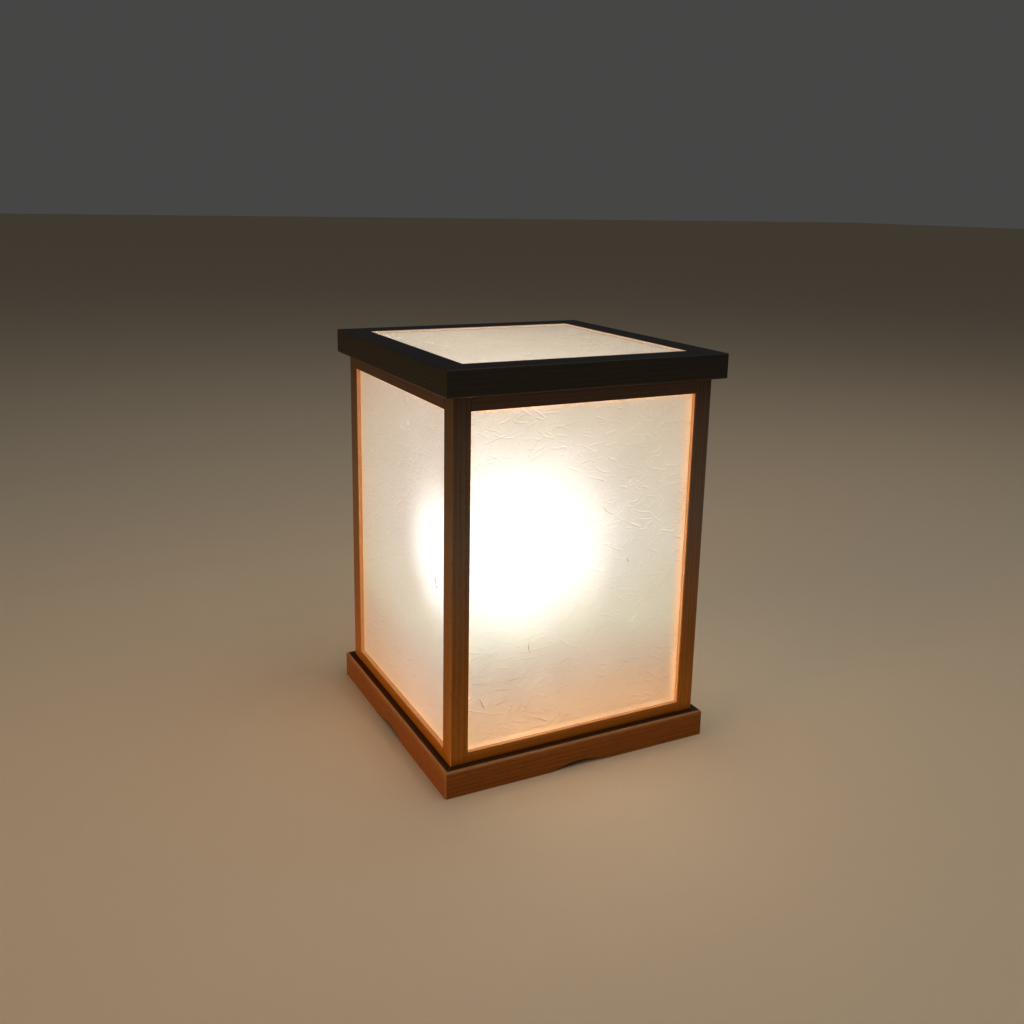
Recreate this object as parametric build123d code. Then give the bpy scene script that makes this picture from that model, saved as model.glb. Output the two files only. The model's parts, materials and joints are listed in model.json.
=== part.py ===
from build123d import *
import math
import os

# Andon floor lamp: a plinth, a lantern body of posts, rails and washi sheets, a lift-off lid with a
# sheet of its own, and a lamp holder on a stem with its bulb.
# Millimetres, +Z up, origin on the floor at the centre of the footprint. The front is -Y.
# Every side piece is drawn once, on the front or at the front-left corner, and turned about Z.

# ---- plinth -------------------------------------------------------------------------------------
plinth_overhang = 9.0         # plinth board beyond the body, on each side
plinth_height = 30.0
plinth_board_thickness = 20.0
plinth_top_radius = 3.0       # rounded top edge
plinth_arris = 0.8            # chamfer down each outer corner
arch_width = 80.0             # cut-out in the middle of each bottom edge
arch_height = 6.5
arch_toe_radius = 30.0        # reversed curve where the cut-out runs out
glue_block_leg = 24.0
glue_block_height = 16.0

bottom_board_thickness = 9.0
board_ledge = 8.0             # width of the ledge that carries the bottom board
board_edge_gap = 0.5
board_screw_length = 18.0
board_screw_edge = 4.0        # screw axis from the board's edge
board_screw_spread = 60.0     # screw axis from the middle of the side

cleat_length = 200.0
cleat_width = 8.0
cleat_height = 10.0
cleat_clearance = 1.0         # between cleat and bottom rail, so that the body drops over

# ---- lantern body -------------------------------------------------------------------------------
body_width = 300.0            # outside, across the posts
body_height = 383.0
post_width = 20.0
post_chamfer = 1.2
bottom_rail_height = 11.5
top_rail_height = 16.0
rail_chamfer = 0.6
sheet_setback = 5.5           # frame face to washi sheet
sheet_thickness = 1.0
sheet_edge_gap = 0.5
rebate_width = 4.0            # rebate in posts and rails that takes sheet and laths
lath_depth = 9.0
lath_end_gap = 0.2
tenon_length = 11.0
tenon_thickness = 5.0
tenon_setback = 3.0           # frame face to tenon
tenon_shoulder = 1.5          # rail material left above and below the tenon
tenon_clearance = 0.1
mortise_end_gap = 0.5

# ---- lid ----------------------------------------------------------------------------------------
lid_overhang = 11.5           # lid beyond the body, on each side
lid_height = 27.0
lid_step_back = 1.0           # lid opening behind the body's opening, on each side
lid_arris = 1.5
lid_inner_arris = 0.6
lid_lip = 3.2                 # wood left over the top sheet
lid_rebate = 4.0
lid_lath_height = 10.0
dowel_radius = 3.0
dowel_seat = 9.5              # length glued into the lid
dowel_reach = 8.0             # length below the lid
dowel_spread = 90.0           # dowel axis from the middle of the side
dowel_setback = 8.0           # dowel axis behind the body's face
dowel_glue_gap = 0.05
dowel_clearance = 0.3
dowel_nose = 1.0
hole_end_gap = 0.5

# ---- lamp holder --------------------------------------------------------------------------------
stem_radius = 5.0
stem_bore_radius = 3.6
stem_above_board = 66.5
stem_below_board = 9.0
thread_clearance = 0.08
nut_across_flats = 14.0
nut_height = 5.0
flange_radius = 30.0
flange_thickness = 3.0
flange_edge = 0.8
flange_screw_circle = 22.0    # radius of the screw circle
flange_screw_count = 3
flange_screw_length = 9.0
bush_flange_radius = 6.5
bush_flange_thickness = 2.0
bush_sleeve_length = 8.0
bush_bore_radius = 2.9
bush_clearance = 0.05

socket_radius = 19.0
socket_wall = 4.3
socket_base_height = 12.0
socket_thread_depth = 8.0     # stem thread in the socket base
socket_cavity_radius = 11.0   # wiring space above the stem
socket_body_height = 35.0
socket_edge_radius = 2.0
insert_height = 6.0
insert_clearance = 0.2
shell_thickness = 0.6
shell_height = 20.0
contact_height = 3.0
contact_radius = 3.0
contact_plate_radius = 5.0
contact_plate_thickness = 1.0
terminal_screw_spread = 7.5
terminal_screw_length = 4.0

# ---- bulb ---------------------------------------------------------------------------------------
bulb_contact_gap = 0.3
bulb_contact_radius = 4.8
bulb_contact_height = 2.0
bulb_insulator_height = 3.5
cap_radius = 13.2             # over the thread crests
cap_thread_depth = 0.8
cap_pitch = 3.6
cap_turns = 5
cap_plain = 2.0               # plain band under the housing
cap_wall = 0.6
housing_height = 39.0
housing_neck_radius = 13.4
housing_wall = 1.8
housing_rim_width = 4.8
diffuser_radius = 30.0
diffuser_wall = 1.5
dome_centre_rise = 15.0       # centre of the dome above the housing's rim
led_board_thickness = 1.6
led_board_clearance = 0.4
led_size = 3.0
led_height = 0.8
led_circle = 15.0
led_count = 10
driver_width = 15.0
driver_thickness = 1.6
driver_height = 44.0
capacitor_radius = 3.8
capacitor_height = 12.0
capacitor_rise = 22.0
coil_size = 7.0
coil_rise = 8.0
component_seat = 0.5          # depth to which the capacitor and the coil sit in the board

# ---- screws -------------------------------------------------------------------------------------
screw_radius = 1.75
screw_head_radius = 3.5
screw_tip = 3.0
screw_clearance = 0.05
pan_head_height = 2.0
small_screw_radius = 1.3
small_screw_head_radius = 2.2
small_screw_head_height = 1.8

margin = 5.0                  # how far a cut runs past the solid

# ---- places that follow from the sizes ----------------------------------------------------------
body_half = body_width / 2
plinth_half = body_half + plinth_overhang
plinth_inner = plinth_half - plinth_board_thickness
opening_half = body_half - post_width
core_half = opening_half + rebate_width
sheet_front = -body_half + sheet_setback
sheet_back = sheet_front + sheet_thickness
body_bottom = plinth_height
body_top = body_bottom + body_height
opening_bottom = body_bottom + bottom_rail_height
opening_top = body_top - top_rail_height
lid_half = body_half + lid_overhang
lid_opening_half = opening_half + lid_step_back
lid_core_half = lid_opening_half + lid_rebate
lid_top = body_top + lid_height
lid_sheet_top = lid_top - lid_lip
lid_sheet_bottom = lid_sheet_top - sheet_thickness
dowel_line = body_half - dowel_setback
board_top = plinth_height
board_bottom = board_top - bottom_board_thickness
board_half = plinth_inner + board_ledge - board_edge_gap
stem_top = board_top + stem_above_board
stem_bottom = board_bottom - stem_below_board
socket_bottom = stem_top - socket_thread_depth + hole_end_gap
socket_rim = socket_bottom + socket_base_height
insert_top = socket_rim + insert_height
contact_top = insert_top + contact_height
socket_inner_radius = socket_radius - socket_wall
insert_radius = socket_inner_radius - insert_clearance
shell_outer_radius = insert_radius - insert_clearance
bulb_bottom = contact_top + bulb_contact_gap
insulator_bottom = bulb_bottom + bulb_contact_height
cap_bottom = insulator_bottom + bulb_insulator_height
cap_root_radius = cap_radius - cap_thread_depth
cap_inner_radius = cap_root_radius - cap_wall
cap_top = cap_bottom + cap_turns * cap_pitch + cap_plain
housing_top = cap_top + housing_height
dome_centre = housing_top + dome_centre_rise
housing_top_radius = math.sqrt(diffuser_radius ** 2 - dome_centre_rise ** 2)

sides = {"front": 0, "right": 90, "back": 180, "left": 270}
corners = {"front_left": 0, "front_right": 90, "back_right": 180, "back_left": 270}


# ---- drawing helpers ----------------------------------------------------------------------------
def block(x, y, z):
    """Box between two opposite corners; each axis is given as (low, high)."""
    size = Box(x[1] - x[0], y[1] - y[0], z[1] - z[0])
    return Pos((x[0] + x[1]) / 2, (y[0] + y[1]) / 2, (z[0] + z[1]) / 2) * size


def rod(radius, z0, z1, x=0.0, y=0.0):
    """Upright cylinder from z0 to z1."""
    return Pos(x, y, (z0 + z1) / 2) * Cylinder(radius, z1 - z0)


def tube(outer, inner, z0, z1):
    """Upright tube from z0 to z1 on the lamp's axis."""
    return rod(outer, z0, z1) - rod(inner, z0 - margin, z1 + margin)


def turned_profile(points):
    """Solid of revolution about Z from (radius, z) points."""
    return revolve(Plane.XZ * make_face(Polyline(*points, close=True)), Axis.Z)


def bar_along_x(section, half_length):
    """Bar along X, centred, from (y, z) points of its section."""
    return extrude(Plane.YZ * make_face(Polyline(*section, close=True)), half_length, both=True)


def turned(shape, angle):
    """The same piece on another side of the lamp."""
    return Rot(0, 0, angle) * shape


def mitre_wedge(half, arris, z0, z1):
    """The part of the plan that a front board owns: 45 degree mitres and a chamfered corner."""
    outer = half - arris - margin
    points = [
        (-outer, -half - margin),
        (outer, -half - margin),
        (half - arris / 2, -half + arris / 2),
        (0, 0),
        (-half + arris / 2, -half + arris / 2),
    ]
    face = make_face(Polyline(*points, close=True))
    return Pos(0, 0, z0 - margin) * extrude(face, z1 - z0 + 2 * margin)


def wood_screw(axis_x, axis_y, top, length, grow=0.0):
    """Countersunk screw pointing down from top; grow enlarges it into the hole that it needs."""
    shank = screw_radius + grow
    head = screw_head_radius + grow
    cone = screw_head_radius - screw_radius
    points = [
        (0, top),
        (head, top),
        (shank, top - cone),
        (shank, top - length + screw_tip),
        (0, top - length),
    ]
    return Pos(axis_x, axis_y, 0) * turned_profile(points)


# ---- plinth and bottom board --------------------------------------------------------------------
def board_screw_places():
    line = board_half - board_screw_edge
    places = []
    for spread in (-board_screw_spread, board_screw_spread):
        places += [(spread, -line), (spread, line), (-line, spread), (line, spread)]
    return places


def board_screw_solids(grow=0.0):
    return [wood_screw(x, y, board_top, board_screw_length, grow) for x, y in board_screw_places()]


def arched_elevation():
    """Front elevation of a plinth board: a rectangle whose bottom edge rises into a low arch."""
    half_arch = arch_width / 2
    crown_radius = (half_arch ** 2 + arch_height ** 2) / (2 * arch_height) - arch_toe_radius
    share = arch_toe_radius / (arch_toe_radius + crown_radius)
    joint_x = half_arch * (1 - share)
    joint_z = arch_toe_radius + (arch_height - crown_radius - arch_toe_radius) * share
    toe_turn = math.asin((half_arch - joint_x) / arch_toe_radius) / 2
    toe_x = half_arch - arch_toe_radius * math.sin(toe_turn)
    toe_z = arch_toe_radius * (1 - math.cos(toe_turn))
    end = plinth_half + margin
    outline = [
        Polyline((half_arch, 0), (end, 0), (end, plinth_height), (-end, plinth_height), (-end, 0),
                 (-half_arch, 0)),
        ThreePointArc((-half_arch, 0), (-toe_x, toe_z), (-joint_x, joint_z)),
        ThreePointArc((-joint_x, joint_z), (0, arch_height), (joint_x, joint_z)),
        ThreePointArc((joint_x, joint_z), (toe_x, toe_z), (half_arch, 0)),
    ]
    return make_face(outline)


def plinth_section():
    """Section of a plinth board: rounded top edge outside, ledge for the bottom board inside."""
    outer = -plinth_half
    inner = -plinth_inner
    corner = plinth_top_radius * (1 - math.sqrt(0.5))
    edge = [
        Polyline((outer + plinth_top_radius, plinth_height), (inner - board_ledge, plinth_height),
                 (inner - board_ledge, board_bottom), (inner, board_bottom), (inner, 0), (outer, 0),
                 (outer, plinth_height - plinth_top_radius)),
        ThreePointArc((outer, plinth_height - plinth_top_radius),
                      (outer + corner, plinth_height - corner),
                      (outer + plinth_top_radius, plinth_height)),
    ]
    return make_face(edge)


def plinth_board():
    elevation = extrude(Plane.XZ * arched_elevation(), plinth_half + margin, both=True)
    bar = extrude(Plane.YZ * plinth_section(), plinth_half + margin, both=True)
    board = bar & elevation & mitre_wedge(plinth_half, plinth_arris, 0, plinth_height)
    for hole in board_screw_solids(screw_clearance):
        board -= hole
    return board


def glue_block():
    """Triangular block in the front-left inner corner, under the bottom board."""
    corner = -plinth_inner
    points = [(corner, corner), (corner + glue_block_leg, corner), (corner, corner + glue_block_leg)]
    face = make_face(Polyline(*points, close=True))
    return Pos(0, 0, board_bottom - glue_block_height) * extrude(face, glue_block_height)


def bottom_board():
    board = block((-board_half, board_half), (-board_half, board_half), (board_bottom, board_top))
    board -= rod(stem_radius + thread_clearance, board_bottom - margin, board_top + margin)
    for hole in board_screw_solids(screw_clearance) + flange_screw_solids(screw_clearance):
        board -= hole
    return board


def cleat():
    face = -opening_half + cleat_clearance
    return block((-cleat_length / 2, cleat_length / 2), (face, face + cleat_width),
                 (board_top, board_top + cleat_height))


# ---- lantern body -------------------------------------------------------------------------------
def rail_section(opening, far):
    """Section of a rail between the opening's edge and its far side, with the sheet's rebate."""
    way = 1 if far > opening else -1
    outer = -body_half
    return [
        (outer, far),
        (outer + post_width, far),
        (outer + post_width, opening + way * rebate_width),
        (outer + sheet_setback, opening + way * rebate_width),
        (outer + sheet_setback, opening),
        (outer + rail_chamfer, opening),
        (outer, opening + way * rail_chamfer),
    ]


def tenon(opening, far, grow=0.0, end_gap=0.0):
    """Both tenons of a front rail as one bar; grow and end_gap make the bar cut the mortises."""
    way = 1 if far > opening else -1
    low, high = sorted((opening + way * (rebate_width + tenon_shoulder), far - way * tenon_shoulder))
    half = opening_half + tenon_length + end_gap
    front = -body_half + tenon_setback
    return block((-half, half), (front - grow, front + tenon_thickness + grow),
                 (low - grow, high + grow))


def rail(opening, far):
    """Front rail: its lip and inner edge stop at the opening, its core fills the post's rebate."""
    bar = bar_along_x(rail_section(opening, far), core_half)
    low, high = sorted((opening, far))
    height = (low - margin, high + margin)
    for side in (-1, 1):
        ends = sorted((side * opening_half, side * (core_half + margin)))
        bar -= block(ends, (-body_half - margin, sheet_front), height)
        bar -= block(ends, (-core_half, -opening_half + margin), height)
    return bar + tenon(opening, far)


def bottom_rail():
    return rail(opening_bottom, body_bottom)


def top_rail(with_dowel_holes):
    piece = rail(opening_top, body_top)
    if with_dowel_holes:
        floor = body_top - dowel_reach - hole_end_gap
        for x in (-dowel_spread, dowel_spread):
            piece -= rod(dowel_radius + dowel_clearance, floor, body_top + margin, x, -dowel_line)
    return piece


def post():
    """Front-left post: chamfered square with a rebate for each sheet and four mortises."""
    outer = -body_half
    inner = -opening_half
    stock = block((outer, inner), (outer, inner), (body_bottom, body_top))
    stock = chamfer(stock.edges().filter_by(Axis.Z), post_chamfer)
    through = (body_bottom - margin, body_top + margin)
    stock -= block((-core_half, inner + margin), (sheet_front, inner + margin), through)
    stock -= block((sheet_front, inner + margin), (-core_half, inner + margin), through)
    for opening, far in ((opening_bottom, body_bottom), (opening_top, body_top)):
        mortise = tenon(opening, far, tenon_clearance, mortise_end_gap)
        stock -= mortise
        stock -= turned(mortise, sides["left"])
    return stock


def side_sheet():
    half = core_half - sheet_edge_gap
    low = opening_bottom - rebate_width
    high = opening_top + rebate_width - sheet_edge_gap
    return block((-half, half), (sheet_front, sheet_back), (low, high))


def side_laths():
    """Four laths that hold the front sheet in its rebate."""
    half = core_half - lath_end_gap
    depth = (sheet_back, sheet_back + lath_depth)
    below = (opening_bottom - rebate_width, opening_bottom)
    above = (opening_top, opening_top + rebate_width)
    between = (opening_bottom, opening_top)
    return Compound([
        block((-half, half), depth, below),
        block((-half, half), depth, above),
        block((-half, -opening_half), depth, between),
        block((opening_half, half), depth, between),
    ])


# ---- lid ----------------------------------------------------------------------------------------
def lid_section():
    outer = -lid_half
    inner = -lid_opening_half
    return [
        (outer, body_top + lid_arris),
        (outer + lid_arris, body_top),
        (-lid_core_half, body_top),
        (-lid_core_half, lid_sheet_top),
        (inner, lid_sheet_top),
        (inner, lid_top - lid_inner_arris),
        (inner - lid_inner_arris, lid_top),
        (outer + lid_arris, lid_top),
        (outer, lid_top - lid_arris),
    ]


def lid_member(with_dowel_holes):
    member = bar_along_x(lid_section(), lid_half + margin)
    member = member & mitre_wedge(lid_half, lid_arris, body_top, lid_top)
    if with_dowel_holes:
        ceiling = body_top + dowel_seat + hole_end_gap
        for x in (-dowel_spread, dowel_spread):
            member -= rod(dowel_radius + dowel_glue_gap, body_top - margin, ceiling, x, -dowel_line)
    return member


def lid_sheet():
    half = lid_core_half - sheet_edge_gap
    return block((-half, half), (-half, half), (lid_sheet_bottom, lid_sheet_top))


def lid_laths():
    """Four laths that hold the top sheet up against the lid's lip."""
    outer = lid_core_half - lath_end_gap
    inner = lid_opening_half
    height = (lid_sheet_bottom - lid_lath_height, lid_sheet_bottom)
    return Compound([
        block((-outer, outer), (-outer, -inner), height),
        block((-outer, outer), (inner, outer), height),
        block((-outer, -inner), (-inner, inner), height),
        block((inner, outer), (-inner, inner), height),
    ])


def dowel(x, y):
    low = body_top - dowel_reach
    high = body_top + dowel_seat
    points = [
        (0, low),
        (dowel_radius - dowel_nose, low),
        (dowel_radius, low + dowel_nose),
        (dowel_radius, high),
        (0, high),
    ]
    return Pos(x, y, 0) * turned_profile(points)


def lid_dowels():
    places = [(x, y) for x in (-dowel_spread, dowel_spread) for y in (-dowel_line, dowel_line)]
    return Compound([dowel(x, y) for x, y in places])


# ---- lamp holder --------------------------------------------------------------------------------
def flange_screw_solids(grow=0.0):
    """Pan-head screws through the flange into the bottom board, or the holes for them."""
    top = board_top + flange_thickness
    solids = []
    for place in PolarLocations(flange_screw_circle, flange_screw_count):
        shank = rod(screw_radius + grow, top - flange_screw_length, top)
        head = rod(screw_head_radius, top, top + pan_head_height)
        solids.append(place * (shank + head))
    return solids


def stem_flange():
    disc = rod(flange_radius, board_top, board_top + flange_thickness)
    disc = chamfer(disc.edges().sort_by(Axis.Z)[-1], flange_edge)
    disc -= rod(stem_radius + thread_clearance, board_top - margin, board_top + margin)
    for hole in flange_screw_solids(screw_clearance):
        disc -= hole
    return disc


def stem_nut(z0):
    prism = extrude(RegularPolygon(nut_across_flats / 2, 6, major_radius=False), nut_height)
    bore = rod(stem_radius + thread_clearance, z0 - margin, z0 + nut_height + margin)
    return Pos(0, 0, z0) * prism - bore


def stem_nuts():
    """Lock nuts above the flange and under the bottom board."""
    return Compound([stem_nut(board_top + flange_thickness), stem_nut(board_bottom - nut_height)])


def lamp_stem():
    return tube(stem_radius, stem_bore_radius, stem_bottom, stem_top)


def cord_bush():
    """Bush in the stem's lower end, where a cord comes in."""
    flange = rod(bush_flange_radius, stem_bottom - bush_flange_thickness, stem_bottom)
    sleeve = rod(stem_bore_radius - bush_clearance, stem_bottom, stem_bottom + bush_sleeve_length)
    bore = rod(bush_bore_radius, stem_bottom - bush_flange_thickness - margin,
               stem_bottom + bush_sleeve_length + margin)
    return flange + sleeve - bore


def socket_base():
    body = rod(socket_radius, socket_bottom, socket_rim)
    body = fillet(body.edges().sort_by(Axis.Z)[0], socket_edge_radius)
    body -= rod(stem_radius + thread_clearance, socket_bottom - margin, socket_rim + margin)
    return body - rod(socket_cavity_radius, stem_top + hole_end_gap, socket_rim + margin)


def terminal_screw(x, grow=0.0):
    head = rod(small_screw_head_radius + grow, socket_rim - small_screw_head_height, socket_rim, x)
    shank = rod(small_screw_radius + grow, socket_rim, socket_rim + terminal_screw_length + grow, x)
    return head + shank


def terminal_screws():
    return Compound([terminal_screw(-terminal_screw_spread), terminal_screw(terminal_screw_spread)])


def socket_insert():
    puck = rod(insert_radius, socket_rim, insert_top)
    for x in (-terminal_screw_spread, terminal_screw_spread):
        puck -= terminal_screw(x, screw_clearance)
    return puck


def socket_body():
    sleeve = tube(socket_radius, socket_inner_radius, socket_rim, socket_rim + socket_body_height)
    rim = sleeve.edges().group_by(Axis.Z)[-1].sort_by(SortBy.RADIUS)[-1]
    return fillet(rim, socket_edge_radius)


def socket_shell():
    return tube(shell_outer_radius, shell_outer_radius - shell_thickness, insert_top,
                insert_top + shell_height)


def socket_contact():
    plate = rod(contact_plate_radius, insert_top, insert_top + contact_plate_thickness)
    return plate + rod(contact_radius, insert_top, contact_top)


# ---- bulb ---------------------------------------------------------------------------------------
def bulb_contact():
    return rod(bulb_contact_radius, bulb_bottom, insulator_bottom)


def bulb_insulator():
    points = [
        (0, insulator_bottom),
        (bulb_contact_radius, insulator_bottom),
        (cap_root_radius, cap_bottom),
        (0, cap_bottom),
    ]
    return turned_profile(points)


def bulb_cap():
    """Screw cap; its thread is drawn as rings, which look and fit the same from the side."""
    points = [(cap_inner_radius, cap_bottom), (cap_root_radius, cap_bottom)]
    for turn in range(cap_turns):
        start = cap_bottom + turn * cap_pitch
        points.append((cap_radius, start + cap_pitch / 2))
        points.append((cap_root_radius, start + cap_pitch))
    points += [(cap_root_radius, cap_top), (cap_inner_radius, cap_top)]
    return turned_profile(points)


def bulb_housing():
    """Flared shell between cap and diffuser, with a rim that carries the LED board."""
    flare = housing_top_radius - housing_neck_radius
    inner_neck = housing_neck_radius - housing_wall
    inner_top = housing_top_radius - housing_rim_width
    outside = Bezier((housing_neck_radius, cap_top), (housing_neck_radius, cap_top + flare),
                     (housing_top_radius, housing_top - flare), (housing_top_radius, housing_top))
    inside = Bezier((inner_top, housing_top), (inner_top, housing_top - flare),
                    (inner_neck, cap_top + flare), (inner_neck, cap_top))
    rim = Line((housing_top_radius, housing_top), (inner_top, housing_top))
    foot = Line((inner_neck, cap_top), (housing_neck_radius, cap_top))
    return revolve(Plane.XZ * make_face([outside, rim, inside, foot]), Axis.Z)


def bulb_driver():
    """Driver board standing on the insulator, with its capacitor and coil."""
    face = driver_thickness / 2
    board = block((-driver_width / 2, driver_width / 2), (-face, face),
                  (cap_bottom, cap_bottom + driver_height))
    can_foot = cap_bottom + capacitor_rise
    can_axis = face + capacitor_radius - component_seat
    can = rod(capacitor_radius, can_foot, can_foot + capacitor_height, 0, can_axis)
    coil_foot = cap_bottom + coil_rise
    coil = block((-coil_size / 2, coil_size / 2), (-face - coil_size / 2, -face + component_seat),
                 (coil_foot, coil_foot + coil_size))
    return board + can + coil


def dome_radius_at_rim(radius):
    return math.sqrt(radius ** 2 - dome_centre_rise ** 2)


def bulb_led_board():
    """Round board on the housing's rim, with a ring of LED chips."""
    radius = dome_radius_at_rim(diffuser_radius - diffuser_wall) - led_board_clearance
    board = rod(radius, housing_top, housing_top + led_board_thickness)
    top = housing_top + led_board_thickness
    for place in PolarLocations(led_circle, led_count):
        board += place * block((-led_size / 2, led_size / 2), (-led_size / 2, led_size / 2),
                               (top, top + led_height))
    return board


def bulb_diffuser():
    ball = Sphere(diffuser_radius) - Sphere(diffuser_radius - diffuser_wall)
    ball = Pos(0, 0, dome_centre) * ball
    reach = 2 * diffuser_radius
    return ball - block((-reach, reach), (-reach, reach), (housing_top - reach, housing_top))


# ---- the whole lamp -----------------------------------------------------------------------------
def base_parts():
    parts = {}
    for side, angle in sides.items():
        parts[f"plinth_{side}"] = turned(plinth_board(), angle)
        parts[f"cleat_{side}"] = turned(cleat(), angle)
    parts["glue_blocks"] = Compound([turned(glue_block(), angle) for angle in corners.values()])
    parts["bottom_board"] = bottom_board()
    parts["board_screws"] = Compound(board_screw_solids())
    parts["stem_flange"] = stem_flange()
    parts["flange_screws"] = Compound(flange_screw_solids())
    parts["stem_nuts"] = stem_nuts()
    parts["lamp_stem"] = lamp_stem()
    parts["cord_bush"] = cord_bush()
    parts["socket_base"] = socket_base()
    parts["terminal_screws"] = terminal_screws()
    parts["socket_insert"] = socket_insert()
    parts["socket_body"] = socket_body()
    parts["socket_shell"] = socket_shell()
    parts["socket_contact"] = socket_contact()
    return parts


def shade_parts():
    parts = {}
    for corner, angle in corners.items():
        parts[f"post_{corner}"] = turned(post(), angle)
    for side, angle in sides.items():
        dowelled = side in ("front", "back")
        parts[f"bottom_rail_{side}"] = turned(bottom_rail(), angle)
        parts[f"top_rail_{side}"] = turned(top_rail(dowelled), angle)
        parts[f"washi_{side}"] = turned(side_sheet(), angle)
        parts[f"laths_{side}"] = turned(side_laths(), angle)
    return parts


def lid_parts():
    parts = {}
    for side, angle in sides.items():
        parts[f"lid_{side}"] = turned(lid_member(side in ("front", "back")), angle)
    parts["washi_top"] = lid_sheet()
    parts["laths_top"] = lid_laths()
    parts["lid_dowels"] = lid_dowels()
    return parts


def bulb_parts():
    return {
        "bulb_contact": bulb_contact(),
        "bulb_insulator": bulb_insulator(),
        "bulb_cap": bulb_cap(),
        "bulb_housing": bulb_housing(),
        "bulb_driver": bulb_driver(),
        "bulb_led_board": bulb_led_board(),
        "bulb_diffuser": bulb_diffuser(),
    }


def main():
    os.makedirs("parts", exist_ok=True)
    for parts in (base_parts(), shade_parts(), lid_parts(), bulb_parts()):
        for name, shape in parts.items():
            export_step(shape, f"parts/{name}.step")


main()
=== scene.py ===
import json
import math
import random

import bmesh
import bpy
from mathutils import Matrix, Vector, noise


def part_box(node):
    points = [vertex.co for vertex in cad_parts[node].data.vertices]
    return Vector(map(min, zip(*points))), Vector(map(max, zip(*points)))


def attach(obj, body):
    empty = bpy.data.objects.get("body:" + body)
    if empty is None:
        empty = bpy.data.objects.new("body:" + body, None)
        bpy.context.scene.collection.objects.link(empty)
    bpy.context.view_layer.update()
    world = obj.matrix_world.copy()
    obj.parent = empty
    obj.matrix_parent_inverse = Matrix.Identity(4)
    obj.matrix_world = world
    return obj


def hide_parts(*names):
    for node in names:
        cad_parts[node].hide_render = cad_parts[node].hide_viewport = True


# Andon floor lamp, dressed. Metres, +Z up, the front is -Y; every piece ends at the origin with
# its place in its mesh. What repeats is made once, at the front or front left, and copied.

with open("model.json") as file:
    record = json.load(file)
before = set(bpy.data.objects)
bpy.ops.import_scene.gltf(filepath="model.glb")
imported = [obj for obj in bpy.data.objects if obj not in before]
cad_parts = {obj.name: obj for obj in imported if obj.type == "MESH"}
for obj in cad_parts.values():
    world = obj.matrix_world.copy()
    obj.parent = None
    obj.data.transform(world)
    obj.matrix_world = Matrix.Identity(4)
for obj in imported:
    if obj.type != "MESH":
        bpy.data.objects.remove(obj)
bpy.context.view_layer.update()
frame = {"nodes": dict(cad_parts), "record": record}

# ---- sizes read from the frame ----
plinth_low, plinth_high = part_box("plinth_front")
board_low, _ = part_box("bottom_board")
post_low, post_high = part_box("post_front_left")
paper_low, paper_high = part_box("washi_front")
lid_low, lid_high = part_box("lid_front")
top_paper_low, top_paper_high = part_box("washi_top")
flange_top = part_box("stem_flange")[1].z

# ---- woodwork ----
plinth_half = -plinth_low.y
plinth_thickness = 0.02
plinth_lip = 0.012  # what stands above the rebate for the bottom board
plinth_round = 0.0036  # rounded top edge
corner_cut = 0.0008  # chamfer down each corner of the plinth and the lid
arch_half = 0.04  # low arch in the middle of each bottom edge
arch_rise = 0.0065
arch_toe_radius = 0.03
arch_crown_radius = 0.09633
arch_joint = 0.0305  # where toe and crown meet
arch_steps = 16

opening_half = -post_high.x
rebate = 0.004  # on each side of an opening, for the sheet and its laths
post_core = opening_half + rebate
lip_back = paper_low.y  # back of the lips, where the paper lies
post_chamfer = 0.0012
rail_chamfer = 0.0006

lid_half = -lid_low.y
lid_opening = 0.131
lid_core = lid_opening + rebate
lid_lip = top_paper_high.z  # underside of the lip that the top sheet lies against
lid_round = 0.0015

lath_thickness = 0.004
lath_arris = 0.0004
cleat_ease = 0.0012  # top edges along the cleat
cleat_end_ease = 0.002
glue_block_leg = 0.024
arris = 0.0003  # edges that are only broken with sandpaper

quarter = math.pi / 2
sides = ("front", "right", "back", "left")  # each a quarter turn on from the one before
corners = ("front_left", "front_right", "back_right", "back_left")

# ---- paper ----
paper_cell = 0.003  # grid that carries the slight waves of the stretched paper
wave_height = 0.00045
wave_length = 0.055
wave_border = 0.02  # the waves fade out over this much of a sheet's edge
paper_margin = 0.0035  # border of a sheet that lies behind a lip
roll_step = 1.0  # each sheet is cut from its own metre of the roll
fibre_radius = 0.00026
bark_radius = 0.00036
fibre_border = paper_margin + 0.012
fibres_each = 40
# strength of the painted light and shade on the sides of the paper's fibres
fibre_relief_light = 0.42
# the warm border of the sheets is painted light, as if bounced off the frame
side_rim_width = 0.013  # warmer border of the lit sheets
top_rim_width = 0.01

# ---- lamp holder and bulb ----
screw_head_radius = 0.0035
screw_shank = 0.00175
screw_cone = 0.002
screw_tip = 0.0003
screw_inset = 0.0165  # of the board's screws, from the outside of the plinth
screw_spread = 0.06
flange_screw_circle = 0.022
stem_radius = 0.005
stem_bore = 0.0036
stem_gap = 0.00008  # between the stem and what it goes through
stem_pitch = 0.001
nut_flats = 0.014
nut_height = 0.005
holder_cavity = 0.011  # radius of the space for the wires
holder_floor = 0.097
holder_bore = 0.0147  # of the socket body
flutes = 96  # strips round the socket body; every third one is sunk
nut_ease = 0.0007
socket_pitch = 0.0036
bulb_wall = 0.0015
bulb_brightness = 1030.0


# ---- modelling helpers ----
def extent(node):
    """Right side, underside and top of a CAD node; for a round one the first is its radius."""
    (_, _, low), (edge, _, high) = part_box(node)
    return edge, low, high


def only(piece):
    """Leaves this piece alone selected and active."""
    bpy.ops.object.select_all(action="DESELECT")
    piece.select_set(True)
    bpy.context.view_layer.objects.active = piece


def settle(name):
    """Names the active object and applies its place, turn and scale."""
    piece = bpy.context.object
    piece.name = piece.data.name = name
    bpy.ops.object.transform_apply(location=True, rotation=True, scale=True)
    return piece


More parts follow.
